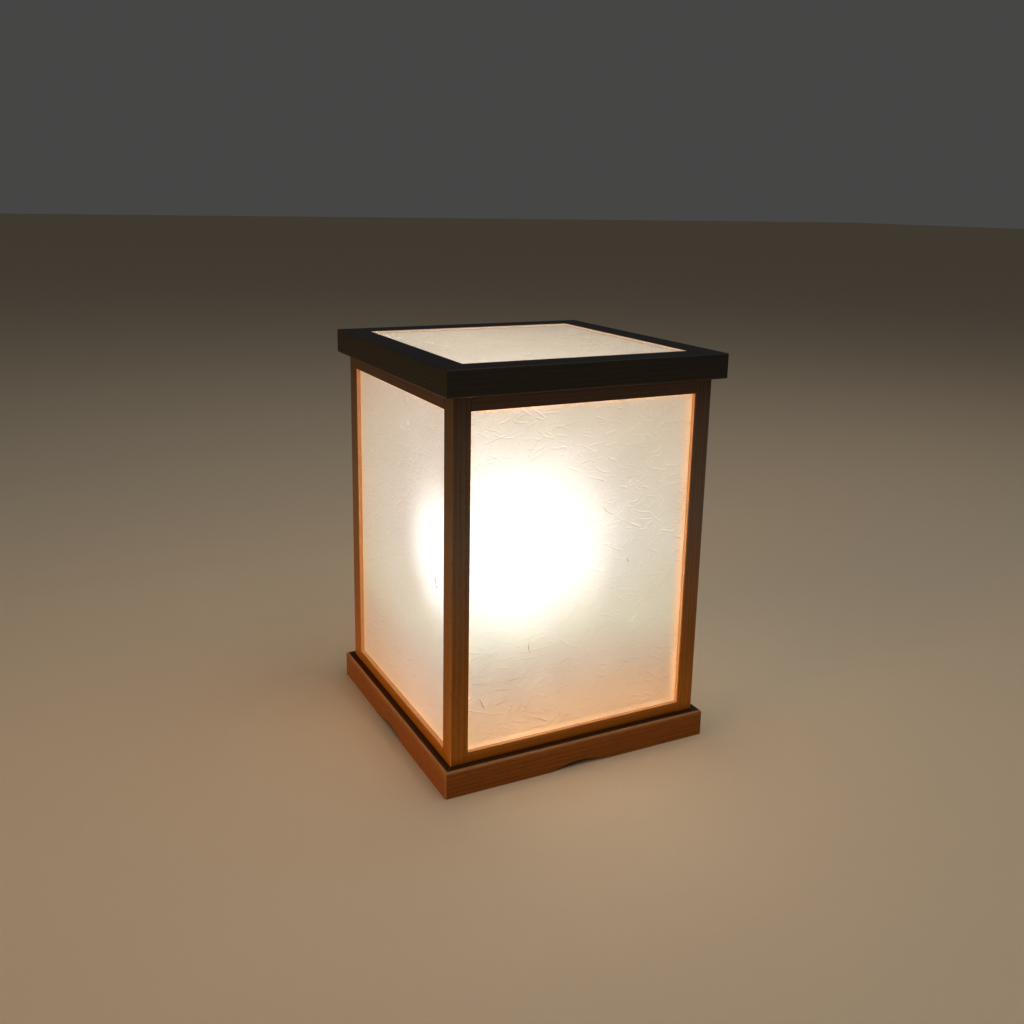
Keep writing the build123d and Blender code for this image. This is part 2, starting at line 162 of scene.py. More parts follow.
def give(thing, **settings):
    for name, value in settings.items():
        setattr(thing, name, value)


def add_object(name, data):
    thing = bpy.data.objects.new(name, data)
    bpy.context.scene.collection.objects.link(thing)
    return thing


def start_block(name, low, high):
    """A cube at the size and place of the box from low to high."""
    low, high = Vector(low), Vector(high)
    bpy.ops.mesh.primitive_cube_add(size=1, location=(low + high) / 2, scale=high - low)
    return settle(name)


def start_rod(name, radius, z0, z1, place=(0, 0), steps=48):
    """A round bar standing at a place."""
    bpy.ops.mesh.primitive_cylinder_add(
        vertices=steps, radius=radius, depth=z1 - z0, location=(*place, (z0 + z1) / 2))
    return settle(name)


def everything(part):
    return True


def edit(piece, operator, kind="VERT", test=everything, **options):
    """Runs a mesh operator on the vertices, edges or faces that pass the test."""
    only(piece)
    bpy.ops.object.mode_set(mode="EDIT")
    bpy.ops.mesh.select_mode(type=kind)
    bpy.ops.mesh.select_all(action="DESELECT")
    shape = bmesh.from_edit_mesh(piece.data)
    for part in {"VERT": shape.verts, "EDGE": shape.edges, "FACE": shape.faces}[kind]:
        if test(part):
            part.select_set(True)
    shape.select_flush_mode()
    bmesh.update_edit_mesh(piece.data)
    operator(**options)
    bpy.ops.object.mode_set(mode="OBJECT")


def near(level, *others):
    """Whether a level is the same as one of the others."""
    return any(abs(level - other) < 1e-5 for other in others)


def facing(axis, way, test=everything):
    """A test for faces whose normal points along an axis and whose middle passes the test."""
    return lambda face: face.normal[axis] * way > 0.9 and test(face.calc_center_median())


def along(axis, **levels):
    """A test for edges that run along an axis, at one of the levels given for each other axis."""
    def passes(edge):
        start, end = [vertex.co for vertex in edge.verts]
        return abs((end - start)[axis]) > 0.99 * (end - start).length and all(
            near(getattr((start + end) / 2, other), *at) for other, at in levels.items())
    return passes


def cut(piece, point, normal, keep="both"):
    """Bisects the whole piece; the side that the normal points to can be cut off and closed."""
    edit(piece, bpy.ops.mesh.bisect, plane_co=point, plane_no=Vector(normal).normalized(),
         threshold=1e-6, clear_outer=keep == "inner", use_fill=keep == "inner")


def push(piece, test, move):
    """Extrudes the faces that pass the test."""
    edit(piece, bpy.ops.mesh.extrude_region_move, "FACE", test,
         TRANSFORM_OT_translate={"value": move})


def round_edges(piece, test, width, segments=3):
    """Bevels the edges that pass the test."""
    edit(piece, bpy.ops.mesh.bevel, "EDGE", test, offset=width, offset_type="OFFSET",
         segments=segments, affect="EDGES")


def mitre(piece, half):
    """Cuts both ends off at 45 degrees and takes the sharp outer corner off."""
    for way in (1, -1):
        cut(piece, (0, 0, 0), (way, 1, 0), keep="inner")
        cut(piece, (way * (half - corner_cut), -half, 0), (way, -1, 0), keep="inner")


def shape_by(piece, kind, **settings):
    """Puts a modifier on a piece and applies it."""
    give(piece.modifiers.new(kind, kind), **settings)
    only(piece)
    bpy.ops.object.modifier_apply(modifier=kind)


def break_edges(piece, width=arris):
    """Breaks the sharp edges a little and keeps the flat faces flat."""
    only(piece)
    bpy.ops.object.shade_smooth()
    shape_by(
        piece, "BEVEL", width=width, segments=2, limit_method="ANGLE", angle_limit=math.radians(40))
    shape_by(piece, "WEIGHTED_NORMAL", weight=100)
    return piece


def soften(piece, angle=40):
    """Shades a piece smooth, but for edges sharper than the angle."""
    only(piece)
    bpy.ops.object.shade_smooth_by_angle(angle=math.radians(angle))
    return piece


def turn_out(piece):
    """Merges doubles and points the faces outwards."""
    edit(piece, bpy.ops.mesh.remove_doubles, threshold=1e-6)
    edit(piece, bpy.ops.mesh.normals_make_consistent, inside=False)


def copy_of(piece, name, turns=0, move=(0, 0, 0)):
    """A copy, turned about the lamp's axis by quarter turns and then moved."""
    only(piece)
    bpy.ops.object.duplicate()
    twin = bpy.context.object
    twin.rotation_euler.z = turns * quarter
    twin.location = move
    return settle(name)


def join(name, pieces):
    only(pieces[0])
    for piece in pieces:
        piece.select_set(True)
    bpy.ops.object.join()
    return settle(name)


def shape_with(piece, cutter, how="DIFFERENCE"):
    """Cuts another closed piece out of this one, or keeps only what lies in both."""
    shape_by(piece, "BOOLEAN", operation=how, solver="EXACT", object=cutter)
    bpy.data.objects.remove(cutter)


def turned_piece(name, profile, steps=96):
    """Spins a (radius, height) outline, which is closed if it stands off the axis."""
    if profile[0][0] > 0:
        profile = profile + profile[:1]
    mesh = bpy.data.meshes.new(name)
    pairs = [(i, i + 1) for i in range(len(profile) - 1)]
    edges = [(i, j) for i, j in pairs if profile[i][0] + profile[j][0] > 1e-9]
    mesh.from_pydata([(radius, 0, height) for radius, height in profile], edges, [])
    piece = add_object(name, mesh)
    edit(piece, bpy.ops.mesh.spin, steps=steps, angle=2 * math.pi, center=(0, 0, 0), axis=(0, 0, 1))
    turn_out(piece)
    return piece


def arc(radius, height, bend, start, end, steps=4):
    """Points of an arc about (radius, height); angles in degrees from the outward way."""
    angles = [math.radians(start + (end - start) * i / steps) for i in range(steps + 1)]
    return [(radius + bend * math.cos(a), height + bend * math.sin(a)) for a in angles]


def rings(radius, z0, z1, pitch, per_turn=8):
    """Points up a plain wall, close enough together to take a thread."""
    count = round((z1 - z0) / pitch * per_turn)
    return [(radius, z0 + (z1 - z0) * i / count) for i in range(count + 1)]


def groove_at(place, height, pitch):
    """How deep in a thread a place on its wall is: 0 on the crest, 1 at the root."""
    turn = math.atan2(place.y, place.x) / (2 * math.pi)
    return 0.5 - 0.5 * math.cos(2 * math.pi * (height / pitch - turn))


def roll_thread(piece, radius, depth, pitch, z0, z1):
    """Moves a plain turned wall in and out along a helix that fades at both ends."""
    for vertex in piece.data.vertices:
        place = vertex.co
        if near(place.xy.length, radius) and z0 < place.z < z1:
            fade = min(1, (place.z - z0) / pitch * 1.5, (z1 - place.z) / pitch * 1.5)
            scale = 1 - depth * groove_at(place, place.z, pitch) * fade / radius
            place.x *= scale
            place.y *= scale


def mark_lip(piece, axis, way, level):
    """Marks the faces of a lip that look into the opening."""
    for face in piece.data.polygons:
        if face.normal[axis] * way > 0.9 and near(face.center[axis], level):
            face.material_index = 1


def dress(piece, body, slot, node, finish=None):
    """Gives a piece its finish (paper has its own), found by its slot, puts it in its body and hides
    its CAD node.
    """
    if not piece.data.materials:
        piece.data.materials.append(finish or finishes[slot])
        if any(face.material_index for face in piece.data.polygons):
            piece.data.materials.append(lip_edge)
    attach(piece, body)
    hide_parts(node)


# ---- material helpers ----
def fill(socket, value):
    """Wires a pattern to a socket, or sets a plain value on it."""
    if isinstance(value, Pattern):
        socket.id_data.links.new(value.socket, socket)
    else:
        socket.default_value = (*value, 1) if socket.type == "RGBA" else value


def new_node(tree, kind, **options):
    """The outputs of a new node. Options in lower case are settings, the others fill sockets, by
    name or, after an underscore, by number."""
    node = tree.nodes.new("ShaderNode" + kind)
    for key, value in options.items():
        if key[0].islower():
            setattr(node, key, value)
        else:
            fill(node.inputs[int(key[1:]) if key[0] == "_" else key.replace("_", " ")], value)
    return [Pattern(socket) for socket in node.outputs]


class Pattern:
    """An output of a node: a value, a colour or a vector that further nodes are fed from."""

    def __init__(self, socket):
        self.socket = socket

    def feed(self, kind, **options):
        """The outputs of a new node that takes this in its first socket."""
        return new_node(self.socket.id_data, kind, _0=self, **options)

    def math(self, operation, other=0.0):
        return self.feed("Math", operation=operation, _1=other)[0]

    def __add__(self, other):
        return self.math("ADD", other)

    def __sub__(self, other):
        return self.math("SUBTRACT", other)

    def __rsub__(self, other):
        return new_node(self.socket.id_data, "Math", operation="SUBTRACT", _0=other, _1=self)[0]

    def __mul__(self, other):
        return self.math("MULTIPLY", other)

    def __abs__(self):
        return self.math("ABSOLUTE")

    def axes(self):
        return self.feed("SeparateXYZ")

    def stretch(self, scale, shift=(0, 0, 0)):
        return self.feed("Mapping", Scale=scale, Location=shift)[0]

    def noise(self, scale=1.0, detail=2.0, roughness=0.5, distortion=0.0):
        return self.feed(
            "TexNoise", Scale=scale, Detail=detail, Roughness=roughness, Distortion=distortion)[0]

    def span(self, low, high, to_low=0.0, to_high=1.0, smooth=False):
        """Maps a value from one range to another and keeps it there."""
        kind = "SMOOTHSTEP" if smooth else "LINEAR"
        return self.feed(
            "MapRange", interpolation_type=kind, _1=low, _2=high, _3=to_low, _4=to_high)[0]

    def ramp(self, *stops):
        """A colour ramp from (place, colour) stops."""
        colour, _ = self.feed("ValToRGB")
        band = colour.socket.node.color_ramp.elements
        while len(band) < len(stops):
            band.new(1.0)
        for element, (place, shade) in zip(band, stops):
            element.position = place
            element.color = (*shade, 1)
        return colour

    def blend(self, a, b, how="MIX"):
        """Colour a where this value is 0, going to colour b where it is 1."""
        return self.feed("Mix", data_type="RGBA", blend_type=how, _6=a, _7=b)[2]

    def tint(self, colour):
        """This colour times another."""
        return new_node(self.socket.id_data, "Mix", data_type="RGBA", blend_type="MULTIPLY",
                        _0=1.0, _6=self, _7=colour)[2]

    def bump(self, distance, strength=1.0):
        return new_node(
            self.socket.id_data, "Bump", Height=self, Distance=distance, Strength=strength)[0]


class Finish:
    """A node material: plain values and patterns go on its shader."""

    def __init__(self, name, **plain):
        self.material = bpy.data.materials.new(name)
        self.material.use_nodes = True
        self.tree = self.material.node_tree
        self.shader = self.tree.nodes["Principled BSDF"]
        _, self.normal, _, self.object, *_ = new_node(self.tree, "TexCoord")
        self.wire(**plain)

    def wire(self, **sockets):
        for name, value in sockets.items():
            fill(self.shader.inputs[name.replace("_", " ")], value)
        return self.material


# ---- materials ----
def wood_figure(finish, grain, ring_scale):
    """Growth rings, streaks and pores that run along the grain."""
    x, y, z = finish.object.axes()
    first, second, third = {"x": (x, y, z), "y": (y, z, x), "z": (z, x, y)}[grain]
    place = first.feed("CombineXYZ", _1=second, _2=third)[0]
    _, ring = place.stretch((0.07, 1, 1), (0.3, 0.21, 0.13)).feed(
        "TexWave", wave_type="RINGS", rings_direction="X", wave_profile="SAW", Scale=ring_scale,
        Distortion=7.0, Detail=3.0, Detail_Scale=0.45, Detail_Roughness=0.55)
    streak = place.stretch((14, 420, 420)).noise(detail=4.0, roughness=0.6)
    pore = place.stretch((95, 2300, 2300)).noise(detail=1.0)
    return ring, streak, pore.span(0.6, 0.74)


def stained_wood(grain):
    """Dark brown staining under thin satin lacquer. Its colour also carries painted light: redder
    and lighter low down, as if lit by the glowing floor, with painted highlights on rounded edges
    and painted shade on faces that look up.
    """
    finish = Finish("stained_wood_along_" + grain, Specular_IOR_Level=0.16, Coat_Weight=0.04,
                    Coat_Roughness=0.3)
    ring, streak, pore = wood_figure(finish, grain, 62.0)
    height = finish.object.axes()[2].span(0.0, lid_high.z)
    # Colour by height: the brown of the wood, with painted light from the glowing floor that is
    # strongest low down and fades up to the dark lid.
    stain_and_painted_light = height.ramp(
        (0.05, (0.25, 0.084, 0.01)), (0.09, (0.405, 0.146, 0.01)), (0.3, (0.284, 0.117, 0.022)),
        (0.6, (0.176, 0.126, 0.098)), (0.93, (0.08, 0.055, 0.05)), (0.945, (0.024, 0.022, 0.022)))
    # Painted highlight on rounded edges, lighter low down and dark at the lid.
    painted_edge_highlight = height.ramp(
        (0.05, (0.5, 0.34, 0.22)), (0.12, (0.4, 0.22, 0.09)), (0.6, (0.24, 0.145, 0.08)),
        (0.93, (0.12, 0.075, 0.05)), (0.945, (0.036, 0.028, 0.024)))
    facing_x, facing_y, facing_up = [abs(way) for way in finish.normal.axes()]
    flat = facing_x.math("MAXIMUM", facing_y).math("MAXIMUM", facing_up)
    stain_and_painted_light = flat.span(0.975, 0.86, 0.0, 0.55).blend(stain_and_painted_light, painted_edge_highlight)
    # Faces that look up are painted near black: painted shade on the plinth's ledge and on the lid's
    # top.
    stain_and_painted_light = facing_up.span(0.86, 0.98, 0.0, 0.88).blend(stain_and_painted_light, (0.004, 0.002, 0.001))
    figure = (ring * 0.32 + streak * 0.8).ramp(
        (0.22, (0.7, 0.67, 0.65)), (0.52, (0.97, 0.96, 0.95)), (0.86, (1.27, 1.24, 1.18)))
    colour = (pore * 0.55).blend(stain_and_painted_light.tint(figure), (0.012, 0.006, 0.004))
    return finish.wire(Base_Color=colour, Roughness=streak.span(0.3, 0.7, 0.36, 0.47) + pore * 0.2,
                       Normal=(streak * 0.5 - pore).bump(0.00005, 0.6))


def lip_wood():
    """The narrow edges of the lips, thinly stained. The paper's light on them is painted, as a glow
    in their emission and as a pale colour that is palest in the lid.
    """
    finish = Finish("lip_edge", Specular_IOR_Level=0.2, Roughness=0.5, Emission_Strength=1.0)
    streak = finish.object.noise(420.0, 3.0)
    height = finish.object.axes()[2].span(0.4, lid_high.z)
    stain_and_painted_light = height.ramp((0.0, (0.6, 0.32, 0.145)), (0.6, (0.6, 0.47, 0.34)))
    light = height.ramp((0.0, (0.13, 0.06, 0.028)), (0.6, (0.33, 0.25, 0.18)))
    tone = streak.blend((0.9, 0.88, 0.86), (1.06, 1.06, 1.06))
    return finish.wire(Base_Color=stain_and_painted_light.tint(tone), Emission_Color=light.tint(tone),
                       Normal=streak.bump(0.00005, 0.5))


def plain_wood(grain):
    """Bare planed softwood."""
    finish = Finish("plain_wood_along_" + grain, Specular_IOR_Level=0.3)
    ring, streak, pore = wood_figure(finish, grain, 48.0)
    colour = (ring * 0.7 + streak * 0.4).ramp(
        (0.15, (0.66, 0.47, 0.27)), (0.65, (0.58, 0.38, 0.2)), (0.98, (0.4, 0.22, 0.1)))
    return finish.wire(Base_Color=colour, Roughness=streak.span(0.3, 0.7, 0.55, 0.68),
                       Normal=(ring * 0.4 - pore).bump(0.00006, 0.6))


def plywood():
    """A sanded face veneer, with the plies showing at the edges."""
    finish = Finish("plywood", Specular_IOR_Level=0.3)
    ring, streak, pore = wood_figure(finish, "x", 21.0)
    veneer = (ring * 0.6 + streak * 0.45).ramp(
        (0.2, (0.3, 0.205, 0.115)), (0.7, (0.255, 0.165, 0.085)), (0.98, (0.19, 0.112, 0.052)))
    _, plies = finish.object.feed("TexWave", bands_direction="Z", Scale=175.0, Distortion=0.6)
    edge = plies.ramp((0.3, (0.24, 0.14, 0.07)), (0.6, (0.58, 0.42, 0.26)))
    upright = abs(finish.normal.axes()[2]).span(0.4, 0.6)
    return finish.wire(
        Base_Color=upright.blend(edge, veneer), Roughness=streak.span(0.3, 0.7, 0.55, 0.7),
        Normal=(streak - pore).bump(0.00006, 0.5))


def metal(name, colour, dull, rough):
    """Plated or turned metal with faint wiping marks."""
    finish = Finish(name, Metallic=1.0)
    cloud = finish.object.noise(160.0, 3.0)
    marks = finish.object.stretch((260, 260, 2600)).noise()
    return finish.wire(
        Base_Color=cloud.span(0.4, 0.7).blend(colour, dull),
        Roughness=marks.span(0.3, 0.7, rough - 0.06, rough + 0.1), Normal=marks.bump(0.00001, 0.3))


def moulded(name, colour, speck, rough, gloss=0.5):
    """Moulded plastic or glazed ware with a fine surface."""
    finish = Finish(name, Specular_IOR_Level=gloss)
    cloud = finish.object.noise(230.0, 4.0)
    return finish.wire(Base_Color=cloud.span(0.45, 0.75).blend(colour, speck),
                       Roughness=cloud.span(0.3, 0.7, rough, rough + 0.08),
                       Normal=finish.object.noise(2600.0).bump(0.00002, 0.4))


def circuit_board():
    """Green lacquered board with copper tracks showing through."""
    finish = Finish("circuit_board", Specular_IOR_Level=0.5)
    tracks, *_ = finish.object.feed("TexVoronoi", feature="F1", distance="MANHATTAN", Scale=420.0)
    colour = tracks.ramp(
        (0.25, (0.05, 0.16, 0.07)), (0.45, (0.02, 0.085, 0.035)), (0.8, (0.015, 0.065, 0.028)))
    cloud = finish.object.noise(500.0)
    return finish.wire(Base_Color=colour, Roughness=cloud.span(0.3, 0.7, 0.3, 0.42),
                       Normal=tracks.bump(0.00004, 0.5))


def opal_light():
    """The lit diffuser of the bulb, a little dimmer towards its rim."""
    finish = Finish("opal_diffuser", Roughness=0.45, Emission_Strength=bulb_brightness)
    _, rim, _ = extent("bulb_diffuser")
    low = finish.object.axes()[2].span(rim, rim + 0.014, smooth=True)
    mottle = finish.object.noise(300.0)
    return finish.wire(Emission_Color=low.blend((0.8, 0.74, 0.66), (1.0, 0.955, 0.89)),
                       Base_Color=mottle.blend((0.93, 0.92, 0.89), (0.96, 0.95, 0.92)))


def fibre_strokes(sheet, cell, length, width, seed):
    """Short bowed fibres, at most one to a cell: where they are, and which of their sides takes
    painted light and which takes painted shade.
    """
    moved = sheet.stretch((1 / cell, 1 / cell, 1), (seed, 2.7 * seed, 0))
    _, colour, centre, *_ = moved.feed("TexVoronoi", voronoi_dimensions="2D", Scale=1.0)
    local, _ = moved.feed("VectorMath", operation="SUBTRACT", _1=centre)
    turn_chance, bow_chance, there_chance = colour.feed("SeparateColor")
    turned = local.feed("VectorRotate", rotation_type="Z_AXIS", Angle=(turn_chance - 0.64) * 1.7)[0]
    lengthwise, across, _ = turned.axes()
    off = across - (bow_chance - 0.5) * 0.6 * (lengthwise * lengthwise)
    thin = abs(off).span(width / cell, 0.1 * width / cell, smooth=True)
    short = abs(lengthwise).span(length / cell, 0.5 * length / cell, smooth=True)
    fibre = thin * short * there_chance.span(0.12, 0.45)
    return fibre, fibre * off.span(-0.5 * width / cell, 0.5 * width / cell, -1.0, 1.0)


paper_body = dict(Roughness=0.58, IOR=1.45, Transmission_Weight=0.49, Specular_IOR_Level=0.25)
middling_strokes = (0.015, 0.0105, 0.0014, 7.7)


def washi(name, width, height, rim_glow, rim_width, glow_stops, thin=1.08, far_side_light=0.7, turned=False,
          relief=1.0, spot=None, core=0.0, halo=0.0):
    """Mulberry paper whose glow is painted light in its emission. Its fibres in relief get painted
    lit and shaded sides, and it is painted dimmest at its right edge or, when turned, at its left;
    thin and the far-side value are painted light levels at the near and far side. The spot is a
    painted bright patch where the bulb shows through: across, up and its two radii."""
    finish = Finish(name, Emission_Strength=1.0, **paper_body)
    sheet, = new_node(finish.tree, "UVMap", uv_map="sheet")
    u, v, _ = sheet.axes()
    fine, fine_side = fibre_strokes(sheet, 0.0092, 0.0062, 0.0012, 3.1)
    middling, middling_side = fibre_strokes(sheet, *middling_strokes)
    long, long_side = fibre_strokes(sheet, 0.027, 0.0165, 0.00125, 12.3)
    wisps = sheet.stretch((120, 340, 1)).noise(detail=3.0, roughness=0.6, distortion=0.8)
    clouds = sheet.noise(24.0, 3.0, 0.55)
    patches = sheet.stretch((1, 1, 1), (3.3, 1.9, 0)).noise(13.0)
    fibres = fine * 0.8 + (middling + long)
    sides_lit = fine_side * 0.9 + (middling_side + long_side)

    # How much painted light comes through, from place to place.
    # How strongly the painted lit sides of the fibres brighten the sheet, and how dark their painted
    # shadows are.
    depth = fibre_relief_light * relief
    shadow = 0.2 * relief
    level = clouds.span(0.3, 0.7, 0.955, 1.035) + wisps.span(0.3, 0.7, -0.04, 0.04)
    level = level + sides_lit * patches.span(0.36, 0.62, depth, 1.9 * depth)
    level = level + fibres * clouds.span(0.42, 0.58, -shadow, shadow)
    across = u.math("FRACT")
    if turned:
        across = width - across
    # Painted shade across the sheet: brightest at the near side, dimmer at the far side.
    level = level * across.span(0.3 * width, width, thin, far_side_light)

    # Its painted glow, warmer towards the far side, with a rim of painted warm light from the frame
    # that is narrower at the near side, the foot and the head.
    glow = v.span(0.0, height).ramp(*glow_stops)
    glow = across.span(0.4 * width, width).blend(glow, glow.tint((1.0, 0.92, 0.83)))
    far_side = width - paper_margin - across
    near_side = (across - paper_margin) * 2.6
    foot = (v - paper_margin) * 1.6
    head = (height - paper_margin - v) * 2.4
    edge = far_side.math("MINIMUM", near_side).math("MINIMUM", foot.math("MINIMUM", head))
    glow = edge.span(rim_width, 0.0, smooth=True).blend(glow, rim_glow)
    # A painted shadow line where the sheet meets the lip.
    level = level * edge.span(0.0003, 0.001, 0.5, 1.0)
    glow = glow.tint(level.feed("CombineColor", _1=level, _2=level)[0])

    # A painted bright patch where the bulb shows through, fixed to the sheet.
    if spot:
        right, up, wide, tall = spot
        here = across.feed("CombineXYZ", _1=v)[0]
        here = here.stretch((1 / wide, 1 / tall, 1), (-right / wide, -up / tall, 0))
        _, away = here.feed("VectorMath", operation="LENGTH")
        shine = (away.span(1.5, 0.5, 0.0, core, smooth=True)
                 + away.span(2.5, 0.9, 0.0, halo, smooth=True))
        glow = shine.blend(glow, (1.0, 1.0, 1.08), "ADD")
    # The paper's colour, paler on the lit sides of the fibres: painted highlights.
    pulp = sides_lit.span(-0.5, 0.5).blend((0.74, 0.68, 0.58), (0.98, 0.93, 0.84))
    return finish.wire(
        Base_Color=pulp, Emission_Color=glow, Normal=(fibres * 0.8 + wisps * 0.7).bump(0.0003, 0.8))


def washi_inside():
    """The back of the paper, towards the bulb."""
    finish = Finish("washi_inside", **paper_body)
    sheet, = new_node(finish.tree, "UVMap", uv_map="sheet")
    fibres, _ = fibre_strokes(sheet, *middling_strokes)
    wisps = sheet.stretch((120, 340, 1)).noise(detail=3.0, roughness=0.6)
    return finish.wire(Base_Color=fibres.blend((0.232, 0.229, 0.222), (0.262, 0.256, 0.245)),
                       Normal=wisps.bump(0.0002, 0.5))


def bark():
    """Brown threads left in the pulp, with the light from behind them painted in their emission."""
    finish = Finish("bark_fibre", Roughness=0.7, Specular_IOR_Level=0.2, Emission_Strength=1.0)
    speck = finish.object.noise(900.0)
    return finish.wire(Base_Color=speck.blend((0.1, 0.08, 0.06), (0.18, 0.15, 0.12)),
                       Emission_Color=speck.blend((0.1, 0.085, 0.07), (0.16, 0.136, 0.11)))


side_width = 2 * (opening_half + paper_margin)
side_height = paper_high.z - paper_low.z
top_width = top_paper_high.x - top_paper_low.x
bulb_up = 0.255 - paper_low.z  # up the sheets, where the bulb shows through
# Painted glow of the side sheets, from foot to head.
side_glow = [
    (0.00, (0.43, 0.225, 0.102)), (0.1, (0.365, 0.212, 0.124)), (0.2, (0.3, 0.24, 0.188)),
    (0.32, (0.357, 0.372, 0.292)), (0.55, (0.368, 0.377, 0.338)), (0.85, (0.372, 0.34, 0.278)),
    (1.00, (0.38, 0.312, 0.238))]
# The left sheet's painted glow, a little cooler.
cool_glow = [(up, (red, green + 0.04, blue + 0.1)) for up, (red, green, blue) in side_glow]
# Painted warm light from the frame, along the border of the side sheets.
side_rim = (0.76, 0.39, 0.17)
right_look = dict(glow_stops=side_glow, thin=1.00, far_side_light=0.7, relief=0.9, halo=0.1,
                  spot=(side_width / 2, bulb_up, 0.075, 0.075))
# Each side's painted light: levels at the near and far side, relief light, and painted bright
# patches where the bulb shows through.
side_looks = {
    "front": dict(glow_stops=side_glow, thin=1.1, far_side_light=0.8, relief=1.3, core=0.24, halo=0.06,
                  spot=(0.06, bulb_up, 0.098, 0.084)),
    "right": right_look,
    "back": dict(right_look, turned=True),
    "left": dict(glow_stops=cool_glow, thin=0.76, far_side_light=0.44, relief=0.3, core=0.34, turned=True,
                 spot=(0.025, bulb_up - 0.01, 0.068, 0.06))}

stained = {grain: stained_wood(grain) for grain in "xyz"}
plain = {grain: plain_wood(grain) for grain in "xyz"}
lip_edge = lip_wood()
side_washi = {side: washi("washi_" + side, side_width, side_height, side_rim, side_rim_width, **look)
              for side, look in side_looks.items()}
# Painted glow of the top sheet, brighter at its front, with a warm painted rim.
top_washi = washi("washi_top_sheet", top_width, top_width, (0.3, 0.19, 0.12), top_rim_width,
                  [(0.0, (0.385, 0.318, 0.23)), (1.0, (0.26, 0.2, 0.14))])
inside_washi = washi_inside()
bark_fibre = bark()
finishes = {"stained_wood": stained["z"], "plain_wood": plain["z"], "washi": side_washi["front"]}
for finish in (
        plywood(), circuit_board(), opal_light(),
        metal("steel", (0.6, 0.6, 0.59), (0.48, 0.48, 0.47), 0.3),
        metal("brass", (0.8, 0.58, 0.28), (0.62, 0.42, 0.18), 0.28),
        metal("nickel", (0.72, 0.7, 0.66), (0.58, 0.56, 0.52), 0.22),
        moulded("porcelain", (0.8, 0.79, 0.75), (0.74, 0.72, 0.67), 0.14, 0.6),
        moulded("black_plastic", (0.014, 0.014, 0.015), (0.022, 0.022, 0.023), 0.34),
        moulded("white_plastic", (0.78, 0.78, 0.76), (0.72, 0.72, 0.69), 0.38)):
    finishes[finish.name.partition(".")[0]] = finish  # a taken name gets a number from Blender


# ---- woodwork pieces ----
def arch_height(x):
    """Underside of a plinth board at a distance from its middle."""
    x = abs(x)
    if x >= arch_half:
        return 0.0
    if x > arch_joint:
        return arch_toe_radius - math.sqrt(arch_toe_radius ** 2 - (arch_half - x) ** 2)
    return arch_rise - arch_crown_radius + math.sqrt(arch_crown_radius ** 2 - x ** 2)


def plinth_board():
    """A mitred board: rebated for the bottom board, rounded on top, arched underneath."""
    outside, shoulder = -plinth_half, plinth_lip - plinth_half
    board = start_block("plinth_board", (outside, outside, 0),
                        (plinth_half, outside + plinth_thickness, board_low.z))
    cut(board, (0, shoulder, 0), (0, 1, 0))
    push(board, facing(2, 1, lambda p: p.y < shoulder), (0, 0, plinth_high.z - board_low.z))
    round_edges(board, along(0, y=[outside], z=[plinth_high.z]), plinth_round, 6)
    for i in range(arch_steps + 1):
        cut(board, (arch_half * math.sin(quarter * (2 * i / arch_steps - 1)), 0, 0), (1, 0, 0))
    for vertex in board.data.vertices:
        if near(vertex.co.z, 0):
            vertex.co.z = arch_height(vertex.co.x)
    mitre(board, plinth_half)
    return break_edges(board)


def corner_post():
    """Front-left post: a square with a lip on each side of its two rebates."""
    post = start_block("post", post_low, (-post_core, -post_core, post_high.z))
    cut(post, (0, lip_back, 0), (0, 1, 0))
    push(post, facing(0, 1, lambda p: p.y < lip_back), (rebate, 0, 0))
    cut(post, (lip_back, 0, 0), (1, 0, 0))
    push(post, facing(1, 1, lambda p: p.x < lip_back), (0, rebate, 0))
    lines = (post_low.x, -opening_half)
    round_edges(post, along(2, x=lines, y=lines), post_chamfer)
    break_edges(post)
    for axis in (0, 1):
        mark_lip(post, axis, 1, -opening_half)
    return post


def rail(low, high, way):
    """A front rail; way is the side of the opening: its lip stands proud that way."""
    core_low, core_high = (low.z, high.z - rebate) if way > 0 else (low.z + rebate, high.z)
    piece = start_block("rail", (-opening_half, low.y, core_low), (opening_half, high.y, core_high))
    cut(piece, (0, lip_back, 0), (0, 1, 0))
    cut(piece, (0, -post_core, 0), (0, 1, 0))
    push(piece, facing(2, way, lambda p: p.y < lip_back), (0, 0, way * rebate))
    for end in (1, -1):
        push(piece, facing(0, end, lambda p: lip_back < p.y < -post_core), (end * rebate, 0, 0))
    round_edges(piece, along(0, y=[low.y], z=[low.z, high.z]), rail_chamfer, 2)
    break_edges(piece)
    mark_lip(piece, 2, way, high.z if way > 0 else low.z)
    return piece


def lid_member():
    """A mitred member of the lid, with the lip that the top sheet lies against."""
    member = start_block(
        "lid_member", (-lid_half, -lid_half, lid_low.z), (lid_half, -lid_core, lid_high.z))
    cut(member, (0, 0, lid_lip), (0, 0, 1))
    push(member, facing(1, 1, lambda p: p.z > lid_lip), (0, rebate, 0))
    round_edges(member, along(0, y=[-lid_half], z=[lid_low.z, lid_high.z]), lid_round, 4)
    round_edges(member, along(0, y=[-lid_opening], z=[lid_high.z]), rail_chamfer, 2)
    mitre(member, lid_half)
    break_edges(member)
    mark_lip(member, 1, 1, -lid_opening)
    return member


def lath_frame(name, boxes):
    """Square laths round an opening, each with its own broken edges."""
    return join(name, [break_edges(start_block(name, *box), lath_arris) for box in boxes])


